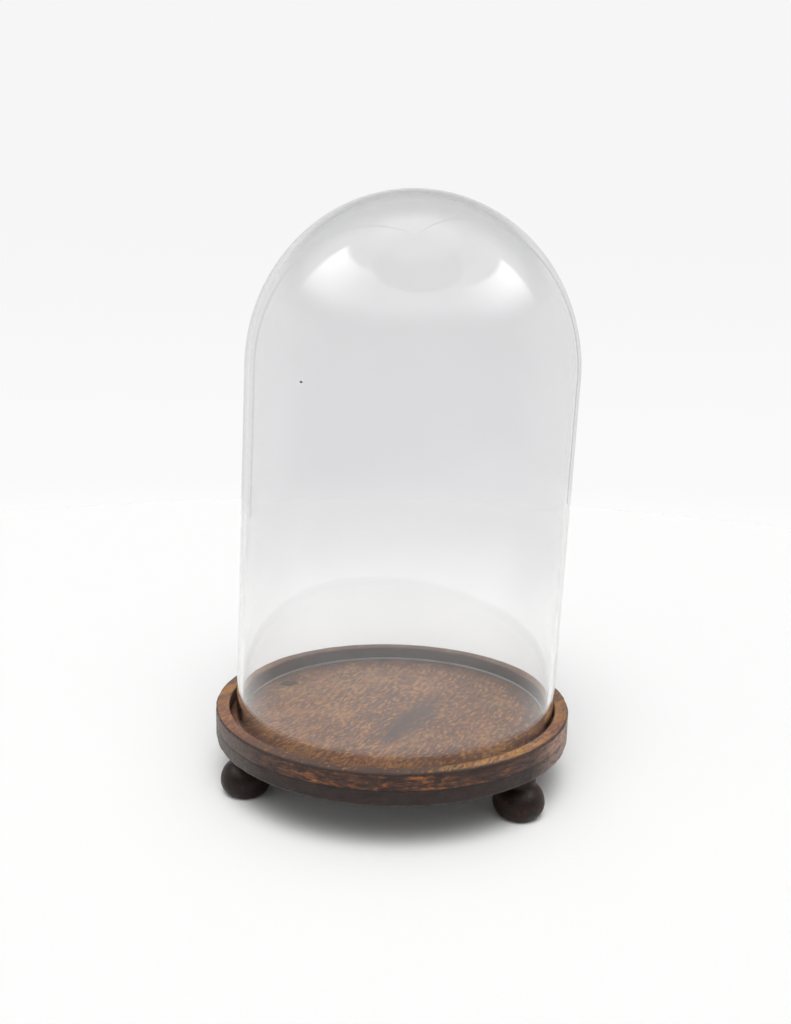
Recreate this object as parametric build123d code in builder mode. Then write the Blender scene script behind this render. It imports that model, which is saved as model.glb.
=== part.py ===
from build123d import *
import os

# A glass display dome standing in the recess of a turned wooden base on three bun feet.
# Origin: centre of the plane that the feet stand on. +Z up, +X to the right seen from the front (-Y).

# Base: a disc with a rim ring glued on its edge
BASE_RADIUS = 100.0
DISC_THICKNESS = 8.0
RING_HEIGHT = 9.0
RECESS_DEPTH = 7.0
RIM_WIDTH = 7.5
RIM_ROUNDING = 0.9
UNDERSIDE_ROUNDING = 1.4
JOINT_BEVEL = 0.35
GLUE_GAP = 0.15

# Bun feet: a ball on a slightly waisted neck
FOOT_HEIGHT = 27.0
FOOT_CIRCLE_RADIUS = 86.0
FIRST_FOOT_ANGLE = 82.3
FOOT_NAMES = ("foot_rear", "foot_front_left", "foot_front_right")
BALL_RADIUS = 13.9
BALL_MIDDLE_HEIGHT = 8.3
SOLE_RADIUS = 8.5
SOLE_ROUNDING = 0.5
NECK_HEIGHT = 18.0
NECK_BOTTOM_RADIUS = 8.8
NECK_WAIST_RADIUS = 8.3
NECK_TOP_RADIUS = 9.4

# One wood screw goes up through each foot into the disc
SCREW_LENGTH = 25.0
SCREW_RADIUS = 1.75
SCREW_POINT_LENGTH = 4.0
SCREW_POINT_RADIUS = 0.5
SCREW_HEAD_RADIUS = 3.8
SCREW_HEAD_HEIGHT = 2.6
SCREW_HEAD_ROUNDING = 1.2
CROSS_SLOT_LENGTH = 4.2
CROSS_SLOT_WIDTH = 0.9
CROSS_SLOT_DEPTH = 1.3
SCREW_HOLE_RADIUS = 2.1
SCREW_POCKET_RADIUS = 4.5
SCREW_POCKET_DEPTH = 8.0
PILOT_RADIUS = 1.6

# Blown glass dome: it leans a little towards +X, and its foot is ground off level
DOME_RADIUS = 90.0
DOME_HEIGHT = 288.0
CROWN_HEIGHT = 94.5
GLASS_WALL = 3.0
DOME_LEAN = 1.8
DOME_OFFSET = 1.2
DOME_TRIM = 8.0
GLASS_EDGE_ROUNDING = 0.9

# Three control points with these weights make an exact quarter of an ellipse
QUARTER_ELLIPSE_WEIGHTS = (1, 0.5**0.5, 1)

# Heights above the soles
disc_top_z = FOOT_HEIGHT + DISC_THICKNESS
rim_top_z = disc_top_z + RING_HEIGHT
recess_floor_z = rim_top_z - RECESS_DEPTH

recess_radius = BASE_RADIUS - RIM_WIDTH
boss_radius = recess_radius - GLUE_GAP
boss_height = recess_floor_z - disc_top_z
screw_tip_z = SCREW_POCKET_DEPTH + SCREW_LENGTH

feet_places = PolarLocations(FOOT_CIRCLE_RADIUS, 3, start_angle=FIRST_FOOT_ANGLE)


def finish(part, name):
    """Label a finished piece and write its STEP file."""
    part.label = name
    export_step(part, f"parts/{name}.step")


os.makedirs("parts", exist_ok=True)

# The disc: its boss is the recess floor and centres the ring. The feet's pilot holes are blind.
with BuildPart() as base_disc:
    with BuildSketch(Plane.XY.offset(FOOT_HEIGHT)):
        Circle(BASE_RADIUS)
    extrude(amount=DISC_THICKNESS)
    disc_edges = base_disc.edges().filter_by(GeomType.CIRCLE).sort_by(Axis.Z)
    fillet(disc_edges[0], radius=UNDERSIDE_ROUNDING)
    chamfer(disc_edges[-1], length=JOINT_BEVEL)
    with BuildSketch(Plane.XY.offset(disc_top_z)):
        Circle(boss_radius)
    extrude(amount=boss_height)
    with BuildSketch(Plane.XY.offset(FOOT_HEIGHT)):
        with feet_places:
            Circle(PILOT_RADIUS)
    extrude(amount=screw_tip_z - FOOT_HEIGHT, mode=Mode.SUBTRACT)
finish(base_disc.part, "base_disc")

# The rim ring, with rounded top edges and a small bevel at the glue line
with BuildPart() as rim_ring:
    with BuildSketch(Plane.XY.offset(disc_top_z)):
        Circle(BASE_RADIUS)
        Circle(recess_radius, mode=Mode.SUBTRACT)
    extrude(amount=RING_HEIGHT)
    ring_edges = rim_ring.edges().filter_by(GeomType.CIRCLE).group_by(Axis.Z)
    top_edges = ring_edges[-1]
    outer_bottom_edge = ring_edges[0].sort_by(SortBy.RADIUS)[-1]
    fillet(top_edges, radius=RIM_ROUNDING)
    chamfer(outer_bottom_edge, length=JOINT_BEVEL)
finish(rim_ring.part, "rim_ring")

# Three bun feet, each with a stepped hole for its screw
for foot_name, foot_place in zip(FOOT_NAMES, feet_places):
    profile_plane = Plane(foot_place.position, x_dir=(1, 0, 0), z_dir=(0, -1, 0))
    with BuildPart() as foot:
        with BuildSketch(profile_plane):
            with BuildLine():
                equator = (BALL_RADIUS, BALL_MIDDLE_HEIGHT)
                neck_foot = (NECK_BOTTOM_RADIUS, NECK_HEIGHT)
                neck_top = (NECK_TOP_RADIUS, FOOT_HEIGHT)
                waist_pull = (NECK_WAIST_RADIUS, (NECK_HEIGHT + FOOT_HEIGHT) / 2)
                TangentArc((equator, (SOLE_RADIUS, 0)), tangent=(0, -1))
                TangentArc((equator, neck_foot), tangent=(0, 1))
                Bezier(neck_foot, waist_pull, neck_top)
                Polyline(neck_top, (0, FOOT_HEIGHT), (0, 0), (SOLE_RADIUS, 0))
            make_face()
        revolve(axis=Axis(foot_place.position, (0, 0, 1)))
        sole_edge = foot.edges().filter_by(GeomType.CIRCLE).sort_by(Axis.Z)[0]
        fillet(sole_edge, radius=SOLE_ROUNDING)
        with Locations(Plane(foot_place.position, z_dir=(0, 0, -1))):
            CounterBoreHole(SCREW_HOLE_RADIUS, SCREW_POCKET_RADIUS, SCREW_POCKET_DEPTH)
    finish(foot.part, foot_name)

# Three pan-head wood screws, heads up inside the feet's pockets
for foot_name, foot_place in zip(FOOT_NAMES, feet_places):
    seat = Plane.XY.offset(SCREW_POCKET_DEPTH).move(Location(foot_place.position))
    under_head = Plane(seat.origin, x_dir=(1, 0, 0), z_dir=(0, 0, -1))
    with BuildPart() as screw:
        with BuildSketch(under_head):
            Circle(SCREW_HEAD_RADIUS)
        extrude(amount=SCREW_HEAD_HEIGHT)
        head_edge = screw.edges().filter_by(GeomType.CIRCLE).sort_by(Axis.Z)[0]
        fillet(head_edge, radius=SCREW_HEAD_ROUNDING)
        with BuildSketch(under_head.offset(SCREW_HEAD_HEIGHT - CROSS_SLOT_DEPTH)):
            Rectangle(CROSS_SLOT_LENGTH, CROSS_SLOT_WIDTH)
            Rectangle(CROSS_SLOT_WIDTH, CROSS_SLOT_LENGTH)
        extrude(amount=CROSS_SLOT_DEPTH, mode=Mode.SUBTRACT)
        with BuildSketch(seat):
            Circle(SCREW_RADIUS)
        extrude(amount=SCREW_LENGTH - SCREW_POINT_LENGTH)
        with BuildSketch(seat.offset(SCREW_LENGTH - SCREW_POINT_LENGTH)):
            Circle(SCREW_RADIUS)
        with BuildSketch(seat.offset(SCREW_LENGTH)):
            Circle(SCREW_POINT_RADIUS)
        loft()
    finish(screw.part, foot_name.replace("foot", "foot_screw"))

# The dome: one shell turned about a leaning axis, then cut level where it stands on the recess floor
lean_axis = Axis((DOME_OFFSET, 0, recess_floor_z), Vector(0, 0, 1).rotate(Axis.Y, DOME_LEAN))
lean_plane = Plane(lean_axis.position, x_dir=Vector(1, 0, 0).rotate(Axis.Y, DOME_LEAN), z_dir=(0, -1, 0))
wall_height = DOME_HEIGHT - CROWN_HEIGHT
inner_radius = DOME_RADIUS - GLASS_WALL
inner_height = DOME_HEIGHT - GLASS_WALL

with BuildPart() as glass_dome:
    with BuildSketch(lean_plane):
        with BuildLine():
            outer_wall = Line((DOME_RADIUS, -DOME_TRIM), (DOME_RADIUS, wall_height))
            crown = Bezier(
                outer_wall @ 1,
                (DOME_RADIUS, DOME_HEIGHT),
                (0, DOME_HEIGHT),
                weights=QUARTER_ELLIPSE_WEIGHTS,
            )
            middle = Line(crown @ 1, (0, inner_height))
            inner_crown = Bezier(
                middle @ 1,
                (inner_radius, inner_height),
                (inner_radius, wall_height),
                weights=QUARTER_ELLIPSE_WEIGHTS,
            )
            Polyline(inner_crown @ 1, (inner_radius, -DOME_TRIM), outer_wall @ 0)
        make_face()
    revolve(axis=lean_axis)
    split(bisect_by=Plane.XY.offset(recess_floor_z), keep=Keep.TOP)
    foot_edges = glass_dome.faces().sort_by(Axis.Z)[0].edges()
    fillet(foot_edges, radius=GLASS_EDGE_ROUNDING)
finish(glass_dome.part, "glass_dome")
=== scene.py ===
# %% [markdown]
# # A glass display dome on a turned wooden base
#
# The real thing is a blown glass dome that stands loose in the recess of a round wooden base. The base is
# a disc with a rim ring glued on top, stained brown and rubbed back, and it stands on three bun feet. The
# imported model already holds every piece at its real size, so this lesson starts by loading it, and takes
# each place and size from it.

# %% Load the frame
import math

import bmesh
import bpy
from mathutils import Euler, Matrix, Vector, noise


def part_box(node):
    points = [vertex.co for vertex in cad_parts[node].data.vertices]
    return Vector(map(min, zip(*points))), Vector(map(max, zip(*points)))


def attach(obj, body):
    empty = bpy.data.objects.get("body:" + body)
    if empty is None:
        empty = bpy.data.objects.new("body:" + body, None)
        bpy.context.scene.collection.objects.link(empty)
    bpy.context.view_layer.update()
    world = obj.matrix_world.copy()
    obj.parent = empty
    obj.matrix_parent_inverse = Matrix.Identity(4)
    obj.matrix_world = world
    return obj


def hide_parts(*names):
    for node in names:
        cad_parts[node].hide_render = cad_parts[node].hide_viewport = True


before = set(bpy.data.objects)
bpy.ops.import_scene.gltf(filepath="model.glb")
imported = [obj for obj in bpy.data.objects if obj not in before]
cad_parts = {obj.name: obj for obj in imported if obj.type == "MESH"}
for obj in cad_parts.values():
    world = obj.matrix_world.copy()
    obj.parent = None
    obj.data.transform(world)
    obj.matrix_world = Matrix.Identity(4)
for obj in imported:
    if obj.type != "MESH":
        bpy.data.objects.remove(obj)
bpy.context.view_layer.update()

print("pieces:", sorted(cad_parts))

# %% [markdown]
# ## Measures
#
# A turner works from a few radii and heights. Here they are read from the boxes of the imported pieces, so
# nothing has to be fitted by eye. Only what a box can't tell, such as the lean of the dome, is a number.

# %% Read the main sizes
MM = 0.001
ring_low, ring_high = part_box("rim_ring")
disc_low, disc_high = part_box("base_disc")
dome_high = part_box("glass_dome")[1]
base_radius = ring_high.x
rim_top = ring_high.z
glue_line = ring_low.z
underside = disc_low.z
recess_floor = disc_high.z
dome_radius = dome_high.y
dome_height = 288 * MM
rim_width = 7.5 * MM
print(f"base {2000 * base_radius:.0f} mm across, dome {2000 * dome_radius:.0f} mm across")

# %% [markdown]
# ## The camera
#
# A product picture of a tall piece is taken from a little above, close enough to see into the recess. The
# camera comes first, so that every later step can be looked at. It has a slight roll, as a hand-held
# camera has.

# %% Place the camera
CAMERA_DISTANCE = 561.3 * MM
CAMERA_PITCH = math.radians(10.83)
CAMERA_ROLL = math.radians(1.156)
CAMERA_LENS_MM = 35.53
look_at = Vector((-0.33 * MM, 0, rim_top + 108.7 * MM))

camera_data = bpy.data.cameras.new("camera")
camera_data.lens = CAMERA_LENS_MM
camera_data.sensor_width = 36
camera_data.clip_start = 0.01
camera = bpy.data.objects.new("camera", camera_data)
bpy.context.scene.collection.objects.link(camera)
backwards = Vector((0, -math.cos(CAMERA_PITCH), math.sin(CAMERA_PITCH)))
camera.location = look_at + backwards * CAMERA_DISTANCE
tilt = Euler((math.pi / 2 - CAMERA_PITCH, 0, 0)).to_matrix()
camera.rotation_euler = (tilt @ Matrix.Rotation(CAMERA_ROLL, 3, "Z")).to_euler()
bpy.context.scene.camera = camera
print("camera stands at", [round(c, 3) for c in camera.location])

# %% [markdown]
# ## Shader sums as plain Python
#
# A finish is a recipe: so much stain here, so much wax there. Written as nodes it is hard to read, so one
# small class wraps a socket, and a sum on it adds the Math node. `Bench` holds one node tree and has one
# method that adds any other node.

# %% A wire that can be added and multiplied
class Wire:
    """One output socket. Arithmetic on it adds Math nodes."""

    def __init__(self, bench, socket):
        self.bench = bench
        self.socket = socket

    def math(self, operation, *others):
        return self.bench.node("ShaderNodeMath", {"operation": operation}, (self, *others))

    def __add__(self, other):
        return self.math("ADD", other)

    def __sub__(self, other):
        return self.math("SUBTRACT", other)

    def __mul__(self, other):
        return self.math("MULTIPLY", other)

    def __rsub__(self, other):
        return self.bench.node("ShaderNodeMath", {"operation": "SUBTRACT"}, (other, self))

    def __pow__(self, other):
        return self.math("POWER", other)

    def __neg__(self):
        return self * -1

    def __abs__(self):
        return self.math("ABSOLUTE")

    __radd__ = __add__
    __rmul__ = __mul__

    def ramp(self, start, end, low=0.0, high=1.0):
        """Eases from low to high as the wire goes from start to end."""
        settings = {"interpolation_type": "SMOOTHSTEP"}
        if start > end:
            start, end, low, high = end, start, high, low
        return self.bench.node("ShaderNodeMapRange", settings, (self, start, end, low, high))


# %% A bench to wire nodes on
class Bench:
    """One node tree, and one way to add a node to it."""

    def __init__(self, tree):
        self.tree = tree
        tree.nodes.clear()

    def node(self, kind, settings=None, sockets=(), output=0):
        """Adds a node. sockets is a dict by name, or values in order. Gives back one output."""
        made = self.tree.nodes.new(kind)
        for key, value in (settings or {}).items():
            setattr(made, key, value)
        pairs = sockets.items() if isinstance(sockets, dict) else enumerate(sockets)
        for key, value in pairs:
            if isinstance(value, Wire):
                self.tree.links.new(value.socket, made.inputs[key])
            else:
                made.inputs[key].default_value = value
        return Wire(self, made.outputs[output]) if made.outputs else None

    def blend(self, share, first, second):
        """Mixes two colours: share 0 gives the first, 1 gives the second."""
        settings = {"data_type": "RGBA", "blend_type": "MIX", "clamp_factor": True}
        return self.node("ShaderNodeMix", settings, {0: share, 6: first, 7: second}, output=2)

    def noise(self, place, scale, detail=3.0, roughness=0.55, distortion=0.0):
        """Cloudy values round 0.5. scale is in clouds per metre."""
        sockets = {
            "Vector": place, "Scale": scale, "Detail": detail,
            "Roughness": roughness, "Distortion": distortion,
        }
        return self.node("ShaderNodeTexNoise", {}, sockets)


def colour(red, green, blue):
    """A colour as seen on a paint card, 0 to 255, turned into the linear values that a shader takes."""
    def linear(value):
        share = value / 255
        return share / 12.92 if share <= 0.04045 else ((share + 0.055) / 1.055) ** 2.4
    return (linear(red), linear(green), linear(blue), 1.0)


print("bench is ready")

# %% [markdown]
# ## The studio
#
# The piece stands on a white sweep in soft light from all round, with a tall soft box on each side. A
# backdrop object would stand in the way of other views, so the light is in the world shader: it is a
# sky that is painted by direction. What the eye sees behind the piece is plain and pale. What the glass
# mirrors is a studio: a white sweep behind, a dark room in front, and the two soft boxes. `straight` picks
# out the light that reaches the eye with no dull surface on its way.

# %% Paint the studio into the world
bpy.context.scene.view_settings.view_transform = "Standard"
world = bpy.data.worlds.new("studio")
bpy.context.scene.world = world
world.use_nodes = True
studio = Bench(world.node_tree)

direction = studio.node("ShaderNodeTexCoord", output="Generated")
east = studio.node("ShaderNodeSeparateXYZ", {}, (direction,), output="X")
north = studio.node("ShaderNodeSeparateXYZ", {}, (direction,), output="Y")
height = studio.node("ShaderNodeSeparateXYZ", {}, (direction,), output="Z")


def ray_is(bench, kind):
    """1 where the light is asked for by one kind of ray, and 0 elsewhere."""
    return bench.node("ShaderNodeLightPath", output=f"Is {kind} Ray")


bounced = studio.node("ShaderNodeLightPath", output="Diffuse Depth").math("MINIMUM", 1)
looking = ray_is(studio, "Camera").math("MAXIMUM", ray_is(studio, "Transmission"))
straight = looking * (1 - bounced)
print("directions and rays are told apart")

# %% [markdown]
# The light comes from one broad lamp, high up and a little to the front, and softly from all round, a
# little more from the front left. The light that falls through the glass onto the wood is the same from
# every side, because a lamp seen through curved walls would only come through as sparkle.

# %% Hang the lamp
LAMP_TILT = math.radians(28)
LAMP_POWER = 9.9
LAMP_FOCUS = 22
EVEN_LIGHT = 0.31
FILL_POWER = 0.50
SPREAD_LIGHT = (2.0, 2.0, 2.0, 1.0)
lamp_direction = (0, -math.sin(LAMP_TILT), math.cos(LAMP_TILT))
facing = studio.node("ShaderNodeVectorMath", {"operation": "DOT_PRODUCT"},
                     (direction, lamp_direction), output="Value").math("MAXIMUM", 0)
front_left = -0.75 * east - 0.65 * north
fill = FILL_POWER * front_left.ramp(0.2, 0.9) * height.ramp(0.55, 0.25)
soft_light = EVEN_LIGHT + LAMP_POWER * facing ** LAMP_FOCUS + fill
lit = studio.blend(ray_is(studio, "Transmission"), soft_light, SPREAD_LIGHT)
print("lamp hung")

# %% [markdown]
# The backdrop is nearly white and lightens towards the floor. What the glass mirrors is the whole room:
# the floor below, a dark room in front, a bright ceiling, brightest right overhead, the two sides of the
# sweep with a thin dark line at each edge, and a soft box on each side, the left one hung a little higher.

# %% Build the room that the glass mirrors
BACKDROP_WHITE = 0.922
DARK_ROOM = 0.12
WHITE_CARD = 0.86
SWEEP_SHARE = 0.82
CEILING_POWER = 1.75
OVERHEAD_POWER = 0.9
BOX_POWER = 4.9
LEFT_BOX_TOP = 0.845
RIGHT_BOX_TOP = 0.75
LEFT_EDGE = -2.32
RIGHT_EDGE = 2.57
EDGE_SHADE = 0.65

backdrop = BACKDROP_WHITE + height.ramp(0.10, -0.13, 0.0, 0.034) + height.ramp(-0.150, -0.185, 0.0, 0.026)

bearing = east.math("ARCTAN2", -north)
swept = north.ramp(-0.55, 0.25) * height.ramp(0.55, 0.30)
ceiling = height.ramp(0.44, 0.66) * north.ramp(0.55, 0.05)
overhead = height.ramp(0.90, 0.985)
ground = height.ramp(-0.115, -0.185)


def soft_box(side, top):
    """A tall box of light from the front corner round to the side, brightest at its far upper corner."""
    reach = bearing * side
    width = reach.ramp(1.88, 1.78) * reach.ramp(0.45, 1.75)
    return width * height.ramp(top + 0.02, top - 0.02) * height.ramp(top - 0.36, top - 0.03)


def sweep_edge(turned):
    """A thin upright line at one bearing, in radians from the front."""
    return abs(bearing - turned).ramp(0.05, 0.015)


boxes = soft_box(-1, LEFT_BOX_TOP) + soft_box(1, RIGHT_BOX_TOP)
edges = sweep_edge(LEFT_EDGE) + sweep_edge(RIGHT_EDGE)
room = DARK_ROOM + WHITE_CARD * (swept * SWEEP_SHARE).math("MAXIMUM", ground)
room = room + CEILING_POWER * ceiling + OVERHEAD_POWER * overhead + BOX_POWER * boxes
room = room * (1 - EDGE_SHADE * edges)
seen = studio.blend(ray_is(studio, "Glossy"), lit, room)
seen = studio.blend(straight, seen, backdrop)
glow = studio.node("ShaderNodeBackground", {}, {"Color": seen, "Strength": 1.0})
studio.node("ShaderNodeOutputWorld", {}, {"Surface": glow})
print("studio painted")

# %% [markdown]
# Every finish starts on a clean bench and ends in one Principled shader. These three short tools do the
# start, the end and the fine relief.

# %% Tools for a finish
def finish(name):
    """A new material with its bench, cleared and ready."""
    material = bpy.data.materials.new(name)
    material.use_nodes = True
    return material, Bench(material.node_tree)


def coat(bench, sockets):
    """Ends a recipe in one Principled shader."""
    shader = bench.node("ShaderNodeBsdfPrincipled", {}, sockets)
    bench.node("ShaderNodeOutputMaterial", {}, {"Surface": shader})


def bump(bench, height_wire, depth, strength=1.0):
    """Turns a height from 0 to 1 into a bumped normal. depth is in metres."""
    sockets = {"Height": height_wire, "Distance": depth, "Strength": strength}
    return bench.node("ShaderNodeBump", {}, sockets)


print("tools for a finish are ready")

# %% [markdown]
# The floor is a round of white card. Its far edge gives the soft line between floor and backdrop. A sharp
# mirror sees the near part of the card brighter than it is, as if a low lamp lay over it there, and that
# keeps the lower half of the glass pale.

# %% Lay the floor
FLOOR_RADIUS = 0.9
GLOW_BEGINS = -0.02
GLOW_FULL = -0.34
GLOW_REACH = 0.40
MIRRORED_GLOW = (1.3, 1.3, 1.3, 1.0)
floor_mesh = bpy.data.meshes.new("floor")
round_card = bmesh.new()
bmesh.ops.create_circle(round_card, cap_ends=True, radius=FLOOR_RADIUS, segments=128)
round_card.to_mesh(floor_mesh)
round_card.free()
floor = bpy.data.objects.new("floor", floor_mesh)
bpy.context.scene.collection.objects.link(floor)

card, card_bench = finish("white_card")
card_place = card_bench.node("ShaderNodeTexCoord", output="Object")
card_grain = card_bench.noise(card_place, 900.0, detail=2.0)
card_y = card_bench.node("ShaderNodeSeparateXYZ", {}, (card_place,), output="Y")
card_reach = card_bench.node("ShaderNodeVectorMath", {"operation": "LENGTH"}, (card_place,), output="Value")
sharp_mirror = ray_is(card_bench, "Singular") * ray_is(card_bench, "Glossy")
sharp_mirror = sharp_mirror * (1 - ray_is(card_bench, "Transmission"))
card_glow = sharp_mirror * card_y.ramp(GLOW_BEGINS, GLOW_FULL) * card_reach.ramp(FLOOR_RADIUS, GLOW_REACH)
coat(card_bench, {
    "Emission Color": card_bench.blend(card_glow, (0, 0, 0, 1), MIRRORED_GLOW),
    "Emission Strength": 1.0,
    "Base Color": card_bench.blend(card_grain, colour(246, 246, 246), colour(248, 248, 247)),
    "Roughness": 0.9,
    "Specular IOR Level": 0.1,
    "Normal": bump(card_bench, card_grain, 0.02 * MM),
})
floor_mesh.materials.append(card)
print("floor laid")

# %% [markdown]
# ## A lathe
#
# Every piece but the screws is round, made on a lathe or blown and spun. So one tool makes them all: an
# outline of radius and height, turned about an axis. `outline` rounds the corners and divides the long
# runs, because a worn edge needs points to move. `turn` sweeps the outline round and lets each piece
# move its own points a little, for wear and for hand-made unevenness.

# %% Outline and lathe
ROUNDING_STEPS = 6
WELD_DISTANCE = 0.002 * MM


def outline(corners, run, closed=True):
    """Points along an outline. Each corner is (radius, height, rounding); run is the longest step."""
    count = len(corners)
    arcs = []
    for index, (radius, height_, rounding) in enumerate(corners):
        corner = Vector((radius, height_))
        if rounding == 0:
            arcs.append([corner])
            continue
        before = (Vector(corners[index - 1][:2]) - corner).normalized() * rounding
        after = (Vector(corners[(index + 1) % count][:2]) - corner).normalized() * rounding
        arc = []
        for step in range(ROUNDING_STEPS + 1):
            share = step / ROUNDING_STEPS
            arc.append(corner + before * (1 - share) ** 2 + after * share ** 2)
        arcs.append(arc)
    points = []
    for index, arc in enumerate(arcs):
        points.extend(arc)
        if index == count - 1 and not closed:
            break
        target = arcs[(index + 1) % count][0]
        gap = target - arc[-1]
        pieces = max(1, math.ceil(gap.length / run))
        points.extend(arc[-1] + gap * step / pieces for step in range(1, pieces))
    return points


def turn(name, points, spokes, shape, closed=True):
    """Sweeps an outline once round Z. shape(radius, height, angle) gives each point its place."""
    corners = []
    faces = []
    count = len(points)
    for spoke in range(spokes):
        angle = math.tau * spoke / spokes
        corners.extend(shape(radius, height_, angle) for radius, height_ in points)
        here, there = spoke * count, (spoke + 1) % spokes * count
        for step in range(count if closed else count - 1):
            after = (step + 1) % count
            faces.append((here + step, there + step, there + after, here + after))
    mesh = bpy.data.meshes.new(name)
    mesh.from_pydata(corners, [], faces)
    tidy = bmesh.new()
    tidy.from_mesh(mesh)
    bmesh.ops.remove_doubles(tidy, verts=tidy.verts, dist=WELD_DISTANCE)
    bmesh.ops.recalc_face_normals(tidy, faces=tidy.faces)
    for face in tidy.faces:
        face.smooth = True
    tidy.to_mesh(mesh)
    tidy.free()
    made = bpy.data.objects.new(name, mesh)
    bpy.context.scene.collection.objects.link(made)
    print(f"{name}: {len(mesh.polygons)} faces")
    return made


# %% [markdown]
# ## The glass dome
#
# The dome was blown, and it shows: the walls wander a little, the crown is slightly taller than a half
# ball, and the dome leans because its foot was cut and ground a touch out of square. It needs a real
# wall with an inner and an outer skin, because the bright and dark lines inside its edge come from
# light bending in the wall. So the outline goes down the outside and back up the inside.

# %% Blow the dome
GLASS_WALL = 3.0 * MM
CROWN_HEIGHT = 94.5 * MM
DOME_LEAN = math.radians(1.8)
DOME_OFFSET = 1.2 * MM
FOOT_ROUNDING = 1.1 * MM
STEADY_FOOT = 12 * MM
WANDER = 0.10 * MM
CROWN_STEPS = 60
DOME_SPOKES = 320
wall_height = dome_height - CROWN_HEIGHT


def crown(radius, crown_height):
    """A quarter of an ellipse, from the wall up to the top."""
    for step in range(1, CROWN_STEPS + 1):
        angle = math.pi / 2 * step / CROWN_STEPS
        yield radius * math.cos(angle), wall_height + crown_height * math.sin(angle), 0


inner_radius = dome_radius - GLASS_WALL
skin_out = [(dome_radius, 0, FOOT_ROUNDING), (dome_radius, wall_height, 0)]
skin_out.extend(crown(dome_radius, CROWN_HEIGHT))
skin_in = [(inner_radius, 0, FOOT_ROUNDING), (inner_radius, wall_height, 0)]
skin_in.extend(crown(inner_radius, CROWN_HEIGHT - GLASS_WALL))
dome_outline = outline(skin_out[::-1] + skin_in, run=4 * MM, closed=False)
lean = Matrix.Translation((DOME_OFFSET, 0, recess_floor)) @ Matrix.Rotation(DOME_LEAN, 4, "Y")


def blown(radius, height_, angle):
    """Leans the dome, keeps its foot level, and lets the walls wander inwards. The inner skin and the
    crown take their wander from another part of the noise than the outer wall."""
    across = radius * math.cos(angle)
    along = radius * math.sin(angle)
    spot = Vector((across, along, height_))
    shift = Vector((3, 0, 0)) if radius < dome_radius - GLASS_WALL / 2 else Vector((0, 0, 0))
    rise = min(1.0, height_ / STEADY_FOOT)
    drift = WANDER * rise * (noise.noise(spot * 12 + shift) - 0.9) * 0.5
    scale = 1 + drift / dome_radius
    level = across * math.tan(DOME_LEAN) * max(0.0, 1 - height_ / wall_height)
    return lean @ Vector((across * scale, along * scale, height_ + level))


dome = turn("blown_dome", dome_outline, DOME_SPOKES, blown, closed=False)
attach(dome, "dome")
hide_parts("glass_dome")

# %% [markdown]
# Clear glass is mostly what it mirrors and bends, but old glass isn't quite clear. It takes a little
# light in each wall, more where one looks along the wall, and a faint film dulls it. Low down the glass is
# made clearer, as painted light for the pale veil that the lower glass mirrors. The flat foot was ground
# on a wheel, so it is matt and catches the light as a pale line.

# %% Mix the glass
HEAVY_FILM = colour(241, 241, 242)
LIGHT_FILM = colour(242, 242, 243)
CLEAR_GLASS_PAINTED_LIGHT = colour(255, 255, 255)
FILM_ABOVE = 140 * MM
PAINTED_LIGHT_BELOW = 80 * MM
GROUND_TO = 0.7 * MM
CLEAR_FROM = 1.3 * MM
GROUND_SHARE = 0.8

glass, bench = finish("old_clear_glass")
place = bench.node("ShaderNodeTexCoord", output="Object")
up = bench.node("ShaderNodeSeparateXYZ", {}, (place,), output="Z")
ripple = bench.noise(place, 14.0, detail=1.0)
smudge = bench.noise(place, 30.0, detail=5.0, roughness=0.65)
tone = bench.blend(smudge.ramp(0.35, 0.70), HEAVY_FILM, LIGHT_FILM)
# Painted light: the glass clears towards the foot, standing in for the pale veil mirrored low down.
tone = bench.blend(up.ramp(FILM_ABOVE, PAINTED_LIGHT_BELOW), tone, CLEAR_GLASS_PAINTED_LIGHT)
clear = bench.node("ShaderNodeBsdfPrincipled", {}, {
    "Base Color": tone,
    "Roughness": 0.0,
    "IOR": 1.5,
    "Transmission Weight": 1.0,
    "Normal": bump(bench, ripple, 0.05 * MM, 0.3),
})
ground_edge = bench.node("ShaderNodeBsdfPrincipled", {}, {
    "Base Color": bench.blend(smudge, colour(196, 194, 192), colour(226, 226, 226)),
    "Roughness": 0.6,
})
is_ground = up.ramp(recess_floor + CLEAR_FROM, recess_floor + GROUND_TO)
shader = bench.node("ShaderNodeMixShader", {}, (is_ground * GROUND_SHARE, clear, ground_edge))
tint = bench.node("ShaderNodeVolumeAbsorption", {}, {"Color": (0.70, 0.71, 0.64, 1), "Density": 8.0})
bench.node("ShaderNodeOutputMaterial", {}, {"Surface": shader, "Volume": tint})
dome.data.materials.append(glass)
print("glass mixed")

# %% [markdown]
# ## Turned and worn wood
#
# The wood pieces get real wear in their shape: knocked edges, and a surface that isn't quite true. Wear
# only ever takes wood away, so every move is inwards.

# %% Wear for a turned piece
def worn(edges, reach, bite, hollow, centre=(0.0, 0.0), seed=0.0):
    """A shape for `turn`. edges are (radius, height) of the knocked edges, reach is how far wear goes
    from them, bite how deep a knock is, and hollow how far the flat parts wander."""
    def shape(radius, height_, angle):
        spot = Vector((centre[0] + radius * math.cos(angle), centre[1] + radius * math.sin(angle), height_))
        chatter = noise.noise(spot * 420 + Vector((seed, 0, 0)))
        knocks = noise.fractal(spot * 150 + Vector((0, seed, 0)), 0.8, 2.1, 3)
        depth = hollow * (0.5 + 0.5 * noise.noise(spot * 60 + Vector((0, 0, seed))) + 0.25 * chatter)
        for edge_radius, edge_height in edges:
            distance = math.hypot(radius - edge_radius, height_ - edge_height)
            near = max(0.0, 1 - distance / reach)
            depth += bite * near * max(0.0, knocks + 0.1)
        inward = Vector((math.cos(angle), math.sin(angle), 0))
        return spot - inward * min(depth, radius * 0.2)
    return shape


# %% [markdown]
# The disc carries the recess floor on a low boss, and its lower edge is eased. The ring is glued on top
# of it, with a fine bevel on each side of the glue line, and that is the line round the edge.

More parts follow.
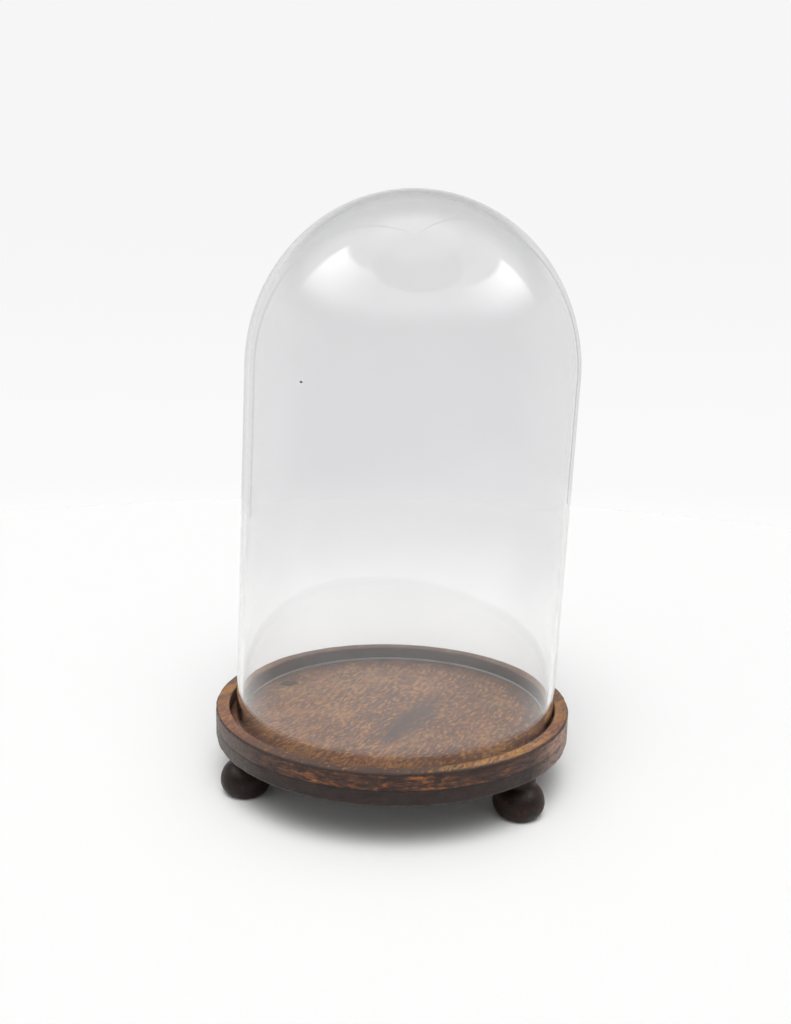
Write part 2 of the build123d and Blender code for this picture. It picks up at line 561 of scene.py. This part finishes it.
# %% Turn the disc and the ring
EASED = 1.5 * MM
BEVEL = 0.45 * MM
GLUE_GAP = 0.15 * MM
DISC_SPOKES = 256
RIM_SPOKES = 320
recess_radius = base_radius - rim_width
disc_corners = [
    (0, underside, 0),
    (base_radius, underside, EASED),
    (base_radius, glue_line, BEVEL),
    (recess_radius - GLUE_GAP, glue_line, 0),
    (recess_radius - GLUE_GAP, recess_floor, 0.3 * MM),
    (0, recess_floor, 0),
]
disc_outline = outline(disc_corners, run=2.5 * MM, closed=False)
disc_wear = worn([(base_radius, underside)], reach=5 * MM, bite=0.5 * MM, hollow=0.12 * MM, seed=4.0)
disc = turn("turned_disc", disc_outline, DISC_SPOKES, disc_wear, closed=False)
ring_corners = [
    (base_radius, glue_line, BEVEL),
    (base_radius, rim_top, 1.0 * MM),
    (recess_radius, rim_top, 0.9 * MM),
    (recess_radius, glue_line, 0),
]
ring_wear = worn([(base_radius, rim_top)], reach=3.2 * MM, bite=0.7 * MM, hollow=0.12 * MM, seed=9.0)
ring = turn("turned_rim", outline(ring_corners, run=1.2 * MM), RIM_SPOKES, ring_wear)
for piece, node, slot in ((disc, "base_disc", "disc_wood"), (ring, "rim_ring", "rim_wood")):
    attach(piece, "base")
    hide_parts(node)

# %% [markdown]
# The bun feet are balls on a short waisted neck. Each has a pocket in its sole for the head of the screw
# that holds it. They are the same piece turned three times, and each is knocked in its own way.

# %% Draw the outline of a foot
SOLE_RADIUS = 8.5 * MM
BALL_MIDDLE = 8.3 * MM
NECK_START = 18.0 * MM
NECK_RADIUS = 8.8 * MM
NECK_WAIST = 8.5 * MM
NECK_TOP = 9.4 * MM
POCKET_RADIUS = 4.5 * MM
POCKET_DEPTH = 8.0 * MM
SHANK_HOLE = 2.1 * MM


def bulge(start, middle, steps):
    """A round stretch from start (radius, height) up or down to the ball's widest place."""
    drop = middle[1] - start[1]
    width = middle[0] - start[0]
    arc_radius = (width ** 2 + drop ** 2) / (2 * width)
    full = math.asin(abs(drop) / arc_radius)
    for step in range(steps):
        angle = full * (1 - step / steps)
        height_ = middle[1] - math.copysign(arc_radius * math.sin(angle), drop)
        yield middle[0] - arc_radius * (1 - math.cos(angle)), height_, 0


def foot_outline(ball_radius, top):
    """The outline of a foot, from the pocket's mouth round the ball and the neck to the screw hole."""
    middle = (ball_radius, BALL_MIDDLE)
    below = list(bulge((SOLE_RADIUS, 0), middle, steps=14))
    above = list(bulge((NECK_RADIUS, NECK_START), middle, steps=18))[::-1]
    waist = [(NECK_WAIST, (NECK_START + top) / 2 - 1 * MM, 0), (NECK_TOP, top, 0)]
    inside = [(SHANK_HOLE, top, 0), (SHANK_HOLE, POCKET_DEPTH, 0), (POCKET_RADIUS, POCKET_DEPTH, 0)]
    sole = [(POCKET_RADIUS, 0, 0.3 * MM)]
    return outline(sole + below + [(*middle, 0)] + above + waist + inside, run=1.2 * MM)


print("outline of a foot is ready")

# %% Turn the feet
FOOT_SPOKES = 96
feet = []
for number, node in enumerate(("foot_rear", "foot_front_left", "foot_front_right")):
    low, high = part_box(node)
    centre = ((low.x + high.x) / 2, (low.y + high.y) / 2)
    ball = (high.x - low.x) / 2
    seed = 20.0 + 7 * number
    wear = worn([(SOLE_RADIUS, 0)], reach=3 * MM, bite=0.4 * MM, hollow=0.16 * MM, centre=centre, seed=seed)
    foot = turn(node.replace("foot", "bun_foot"), foot_outline(ball, high.z), FOOT_SPOKES, wear)
    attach(foot, "base")
    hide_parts(node)
    feet.append(foot)

# %% [markdown]
# ## The distressed finish
#
# The look of the base comes from layers, and the recipe follows the hand that made it: pale golden wood,
# a brown stain that takes unevenly, dark wax in the pores and on the outer corner, and then rubbing back,
# which brings the gold up again on the edges. Shade in the corner of the recess and sheen on the sides are
# painted in as well. `board` gives the marks of the wood itself, all running along one grain direction.

# %% The marks of the board
GRAIN_DIRECTION = math.radians(64.7)


def stretched(bench, place, share):
    """Draws a pattern out along the three axes. The smaller a share, the longer the marks."""
    return bench.node("ShaderNodeMapping", {"vector_type": "POINT"}, {"Vector": place, "Scale": share})


def board(bench):
    """Gives fibres, flecks, broad figure, clouds and pores of a board, as values from 0 to 1."""
    place = bench.node("ShaderNodeTexCoord", output="Object")
    turned = {"Vector": place, "Rotation": (0, 0, -GRAIN_DIRECTION)}
    along = bench.node("ShaderNodeMapping", {"vector_type": "POINT"}, turned)

    def drawn(share, scale, detail, roughness, distortion=0.0):
        """Noise drawn out along the grain."""
        return bench.noise(stretched(bench, along, (share, 1, 1)), scale, detail, roughness, distortion)

    return {
        "place": place,
        "fibre": drawn(0.20, 760.0, detail=5.0, roughness=0.72, distortion=0.5),
        "fleck": drawn(0.40, 560.0, detail=4.0, roughness=0.68, distortion=0.25),
        "figure": drawn(0.30, 70.0, detail=7.0, roughness=0.64, distortion=0.9),
        "cloud": bench.noise(place, 32.0, detail=5.0, roughness=0.6),
        "pore": drawn(0.16, 800.0, detail=3.0, roughness=0.6).ramp(0.58, 0.70),
    }


GOLD = colour(192, 140, 72)
TAN = colour(150, 108, 84)
CHESTNUT = colour(110, 72, 56)
UMBER = colour(74, 48, 41)
SOOT = colour(36, 26, 24)


def radius_of(bench, place):
    """How far a point is from the base's axis."""
    flat = bench.node("ShaderNodeVectorMath", {"operation": "MULTIPLY"}, (place, (1, 1, 0)))
    return bench.node("ShaderNodeVectorMath", {"operation": "LENGTH"}, (flat,), output="Value")


# %% [markdown]
# The disc is the darker piece from the side, and the recess floor on top is a warm brown with mottled
# figure, a dark diagonal streak and a knot. One recipe does both, told apart by height.

# %% Stain the recess floor
FLOOR_DARK = colour(114, 68, 40)
FLOOR_MID = colour(152, 98, 62)
FLOOR_LIGHT = colour(206, 148, 94)
STREAK_TONE = colour(70, 52, 46)
GOLDEN_MIDDLE = (-30 * MM, 26 * MM)
GOLDEN_REACH = (34 * MM, 22 * MM)
STREAK_MIDDLE = (11 * MM, -13 * MM)
STREAK_REACH = (52 * MM, 9 * MM)


def patch(bench, place, middle, turned, reach):
    """How far a point is from the middle of a long patch, as a share of the patch's reach."""
    settings = {"vector_type": "TEXTURE"}
    sockets = {"Vector": place, "Location": (*middle, 0), "Rotation": (0, 0, turned), "Scale": (*reach, 1)}
    moved = bench.node("ShaderNodeMapping", settings, sockets)
    return radius_of(bench, moved)


disc_finish, bench = finish("mottled_brown_board")
marks = board(bench)
place = marks["place"]
up = bench.node("ShaderNodeSeparateXYZ", {}, (place,), output="Z")
is_floor = up.ramp(recess_floor - 1.0 * MM, recess_floor - 0.6 * MM)
tone = bench.blend(marks["figure"].ramp(0.30, 0.66), FLOOR_DARK, FLOOR_MID)
tone = bench.blend(marks["cloud"].ramp(0.44, 0.64) * 0.45, tone, FLOOR_LIGHT)
tone = bench.blend(marks["fibre"].ramp(0.50, 0.38) * 0.75, tone, CHESTNUT)
tone = bench.blend(marks["fleck"].ramp(0.52, 0.61) * 0.90, tone, FLOOR_LIGHT)
tone = bench.blend(marks["fleck"].ramp(0.46, 0.39) * 0.72, tone, UMBER)

golden_reach = patch(bench, place, GOLDEN_MIDDLE, GRAIN_DIRECTION, GOLDEN_REACH)
golden = (golden_reach + marks["figure"] * 1.6 - 0.8).ramp(1.1, 0.3) * marks["fleck"].ramp(0.44, 0.60)
tone = bench.blend(golden * 0.45, tone, GOLD)
streak_reach = patch(bench, place, STREAK_MIDDLE, GRAIN_DIRECTION, STREAK_REACH)
streak = (streak_reach + marks["figure"] * 2.4 - 1.2).ramp(1.2, 0.2)
tone = bench.blend(streak * (0.45 + 0.6 * marks["fibre"]), tone, STREAK_TONE)
print("floor stained")

# %% [markdown]
# The knot is a hard little eye with a dark ring. The floor darkens towards the corner of the recess, which
# is painted shade.

# %% Add the knot
KNOT_MIDDLE = (-64.5 * MM, 39 * MM)
KNOT_TURNED = math.radians(12)
KNOT_REACH = (5.6 * MM, 4.2 * MM)
knot_reach = patch(bench, place, KNOT_MIDDLE, KNOT_TURNED, KNOT_REACH)
knot_reach = knot_reach + marks["fleck"] * 0.5 - 0.25
knot = knot_reach.ramp(1.10, 0.85) * knot_reach.ramp(0.15, 0.55, 0.55, 1.0)
tone = bench.blend(knot * 0.9, tone, SOOT)
tone = bench.blend(marks["pore"] * 0.6, tone, UMBER)
radius = radius_of(bench, place)
# Painted shade: the floor darkens towards the rim wall, and most at its foot.
tone = bench.blend(radius.ramp(70 * MM, 90 * MM) * 0.55, tone, UMBER)
tone = bench.blend(radius.ramp(88 * MM, 92 * MM) * 0.5, tone, SOOT)
print("knot added")

# %% [markdown]
# The disc's own edge is the darkest wood of all. It was wiped level with a rag. Both it and the rim above
# it
# get painted light: a pale painted sheen on the right and a grey painted sheen on the left.

# %% Tools for wiped, sheen-painted and waxed wood
GRAIN_RELIEF = 0.35 * MM
WOOD_SHINE = 0.34


def wiped(bench, place):
    """Marks drawn out level round the edge, as a rag leaves them."""
    level = stretched(bench, place, (0.24, 0.24, 1.0))
    return bench.noise(level, 480.0, detail=6.0, roughness=0.72, distortion=0.3)


def facing_side(bench, place, bearing_degrees):
    """How far towards one side a point lies. Bearing 0 is the front, 90 is +X."""
    turned = math.radians(bearing_degrees)
    toward = (math.sin(turned), -math.cos(turned), 0)
    return bench.node("ShaderNodeVectorMath", {"operation": "DOT_PRODUCT"}, (place, toward), output="Value")


def painted_side_sheen(bench, place, tone, right_sheen, right_sheen_share, left_sheen, left_sheen_share):
    """Paints a pale sheen on the right of an edge and a grey sheen on its left, as painted light."""
    right = facing_side(bench, place, 76).ramp(0.86 * base_radius, 0.99 * base_radius)
    left = facing_side(bench, place, -72).ramp(0.84 * base_radius, 0.99 * base_radius)
    tone = bench.blend(right * right_sheen_share, tone, right_sheen)
    return bench.blend(left * left_sheen_share, tone, left_sheen)


def wax(bench, marks, tone, roughness, coat_roughness, grain):
    """Ends a recipe in waxed wood. roughness is its least and most, grain how much the marks stand out."""
    relief = marks["fibre"] * 0.6 + marks["fleck"] * 0.5 - marks["pore"] * 0.5
    coat(bench, {
        "Base Color": tone,
        "Roughness": marks["fleck"].ramp(0.3, 0.7, *roughness),
        "Specular IOR Level": WOOD_SHINE,
        "Coat Weight": marks["cloud"].ramp(0.3, 0.7, 0.0, 0.08),
        "Coat Roughness": coat_roughness,
        "Normal": bump(bench, relief, GRAIN_RELIEF, grain),
    })


print("tools for the edges are ready")

# %% Stain the disc's edge
EDGE_DARK = colour(28, 18, 15)
EDGE_BROWN = colour(44, 29, 25)
wipe = wiped(bench, place)
edge_tone = bench.blend(wipe.ramp(0.36, 0.64), EDGE_DARK, EDGE_BROWN)
edge_tone = bench.blend(wipe.ramp(0.60, 0.74) * 0.25, edge_tone, CHESTNUT)
# Painted light: a pale sheen on the right of the disc's edge and a grey sheen on its left, thinned by the
# wiped marks.
right_sheen_share = wipe.ramp(0.30, 0.55) * 0.9
edge_tone = painted_side_sheen(bench, place, edge_tone, colour(140, 112, 98), right_sheen_share, colour(92, 80, 74), 0.6)
tone = bench.blend(is_floor, edge_tone, tone)
wax(bench, marks, tone, roughness=(0.40, 0.60), coat_roughness=0.28, grain=0.7)
disc.data.materials.append(disc_finish)
print("disc stained")

# %% [markdown]
# The rim shows the most rubbing. Its top is chestnut, nearly black at the very front, with gold wearing
# through, most of all on the front right.

# %% Stain the rim's top
DARK_FRONT = colour(62, 40, 34)
BRIGHT_GOLD = colour(200, 152, 86)
rim_finish, bench = finish("rubbed_brown_rim")
marks = board(bench)
place = marks["place"]
up = bench.node("ShaderNodeSeparateXYZ", {}, (place,), output="Z")
radius = radius_of(bench, place)
on_top = up.ramp(rim_top - 1.2 * MM, rim_top - 0.6 * MM)
top_tone = bench.blend(marks["fleck"].ramp(0.38, 0.62), CHESTNUT, TAN)
top_tone = bench.blend(marks["figure"].ramp(0.50, 0.66) * 0.5, top_tone, GOLD)
dark_front = facing_side(bench, place, -8).ramp(0.50 * base_radius, 0.97 * base_radius)
top_tone = bench.blend(dark_front * 0.92, top_tone, DARK_FRONT)
top_tone = bench.blend(marks["fibre"].ramp(0.46, 0.34) * 0.6, top_tone, UMBER)
gold_side = facing_side(bench, place, 34).ramp(0.84 * base_radius, 0.96 * base_radius)
inside_corner = radius.ramp(base_radius - 0.8 * MM, base_radius - 3.2 * MM)
rub = marks["fibre"].ramp(0.42, 0.60) * gold_side * inside_corner
top_tone = bench.blend(rub * 0.75, top_tone, BRIGHT_GOLD)
top_tone = bench.blend(marks["fleck"].ramp(0.56, 0.68) * 0.55, top_tone, GOLD)
print("top of the rim stained")

# %% [markdown]
# The side of the rim was wiped level too. Orange wood shows through in patches at the front, and it is
# darker towards the glue line. The outer corner carries a thin dark line of wax.

# %% Stain the rim's side
SIDE_DARK = colour(40, 25, 20)
SIDE_BROWN = colour(70, 46, 36)
ORANGE = colour(150, 88, 40)
wipe = wiped(bench, place)
tone = bench.blend(wipe.ramp(0.36, 0.62), SIDE_DARK, SIDE_BROWN)
bright_front = facing_side(bench, place, 2).ramp(0.66 * base_radius, 0.99 * base_radius)
patchy = wipe.ramp(0.46, 0.62) * marks["cloud"].ramp(0.38, 0.58)
tone = bench.blend(patchy * (0.10 + 0.75 * bright_front), tone, ORANGE)
tone = bench.blend(wipe.ramp(0.60, 0.72) * (0.15 + 0.4 * bright_front), tone, GOLD)
# Painted light: a pale sheen on the right of the rim's side and a grey sheen on its left, thinned by the
# wiped marks.
right_sheen_share = wipe.ramp(0.32, 0.56) * 0.9
tone = painted_side_sheen(bench, place, tone, colour(170, 126, 102), right_sheen_share, colour(98, 84, 76), 0.55)
tone = bench.blend(on_top, tone, top_tone)
tone = bench.blend(marks["pore"] * 0.55, tone, SOOT)

outer_line = abs(radius - (base_radius - 0.30 * MM)).ramp(0.8 * MM, 0.3 * MM)
outer_line = outer_line * up.ramp(rim_top - 1.6 * MM, rim_top - 0.7 * MM)
tone = bench.blend(outer_line * marks["fleck"].ramp(0.36, 0.50, 0.45, 0.95), tone, SOOT)
# Painted shade on the wall of the recess, the inner face of the rim.
recess_wall_shade = radius.ramp(recess_radius + 0.5 * MM, recess_radius + 0.1 * MM)
tone = bench.blend(recess_wall_shade * 0.6, tone, UMBER)
tone = bench.blend(up.ramp(glue_line + 1.2 * MM, glue_line) * 0.6, tone, SOOT)
wax(bench, marks, tone, roughness=(0.36, 0.56), coat_roughness=0.25, grain=0.8)
ring.data.materials.append(rim_finish)
print("rim stained")

# %% [markdown]
# The feet took the most stain and are nearly black, with a satin rub. A little red-brown shows where the
# ball is handled. Their grain stands upright, because a foot is turned from a stick.

# %% Stain the feet
NEAR_BLACK = colour(26, 14, 9)
RED_BROWN = colour(60, 32, 21)
FIBRE_BROWN = colour(84, 56, 42)
SPECK_TAN = colour(120, 90, 66)
foot_finish, bench = finish("near_black_foot")
place = bench.node("ShaderNodeTexCoord", output="Object")
fibre = bench.noise(stretched(bench, place, (1.0, 1.0, 0.22)), 1000.0, detail=4.0, roughness=0.6)
cloud = bench.noise(place, 95.0, detail=4.0, roughness=0.6, distortion=0.6)
speck = bench.noise(place, 1300.0, detail=2.0).ramp(0.62, 0.74)
tone = bench.blend(cloud.ramp(0.50, 0.68) * 0.8, NEAR_BLACK, RED_BROWN)
tone = bench.blend(fibre.ramp(0.58, 0.76) * 0.35, tone, FIBRE_BROWN)
tone = bench.blend(speck * 0.3, tone, SPECK_TAN)
coat(bench, {
    "Base Color": tone,
    "Roughness": cloud.ramp(0.3, 0.7, 0.42, 0.60),
    "Specular IOR Level": 0.22,
    "Coat Weight": cloud.ramp(0.35, 0.65, 0.08, 0.02),
    "Coat Roughness": 0.25,
    "Normal": bump(bench, fibre * 0.7 + cloud * 0.6, 0.3 * MM, 0.7),
})
for foot in feet:
    foot.data.materials.append(foot_finish)
print("feet stained")

# %% [markdown]
# ## The screws
#
# Plain zinc-plated pan-head screws, up in the pockets of the soles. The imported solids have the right
# shape, so they stay, and only get a finish: brushed plating, with a little brown dust.

# %% Plate the screws
screw_finish, bench = finish("dusty_zinc")
place = bench.node("ShaderNodeTexCoord", output="Object")
brushed = bench.noise(place, 2600.0, detail=3.0)
dust = bench.noise(place, 700.0, detail=4.0).ramp(0.50, 0.68)
coat(bench, {
    "Base Color": bench.blend(dust * 0.6, colour(186, 188, 190), colour(96, 78, 64)),
    "Metallic": 1 - dust * 0.6,
    "Roughness": brushed.ramp(0.3, 0.7, 0.24, 0.46),
    "Normal": bump(bench, brushed, 0.05 * MM),
})
for name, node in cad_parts.items():
    if name.startswith("foot_screw"):
        node.data.materials.clear()
        node.data.materials.append(screw_finish)
print("screws plated")

# %% [markdown]
# ## A seed in the glass
#
# Old glass often holds a seed: a grain of grit from the pot, with a small bubble drawn out beside it.
# There is one high on the left of the front wall. It is a tiny lump, squashed and bent out of round, and
# it sits inside the wall.

# %% Set the seed
SEED_ANGLE = math.radians(233.3)
SEED_HEIGHT = 189.3 * MM
SEED_RADIUS = 0.55 * MM
seed_mesh = bpy.data.meshes.new("glass_seed")
lump = bmesh.new()
bmesh.ops.create_icosphere(lump, subdivisions=3, radius=SEED_RADIUS)
for corner in lump.verts:
    corner.co *= 1 + 0.25 * noise.noise(corner.co * 2500)
    corner.co.x *= 1.5
    corner.co.z *= 0.8
lump.to_mesh(seed_mesh)
lump.free()
for face in seed_mesh.polygons:
    face.use_smooth = True
seed_piece = bpy.data.objects.new("glass_seed", seed_mesh)
bpy.context.scene.collection.objects.link(seed_piece)
wall_middle = dome_radius - GLASS_WALL / 2
out = Matrix.Rotation(SEED_ANGLE, 4, "Z") @ Matrix.Translation((wall_middle, 0, SEED_HEIGHT))
seed_mesh.transform(lean @ out @ Matrix.Rotation(math.pi / 2, 4, "Z"))
grit, bench = finish("pot_grit")
place = bench.node("ShaderNodeTexCoord", output="Object")
mottle = bench.noise(place, 4000.0)
coat(bench, {
    "Base Color": bench.blend(mottle, colour(20, 18, 16), colour(60, 52, 44)),
    "Roughness": mottle.ramp(0.3, 0.7, 0.4, 0.7),
})
seed_mesh.materials.append(grit)
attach(seed_piece, "dome")
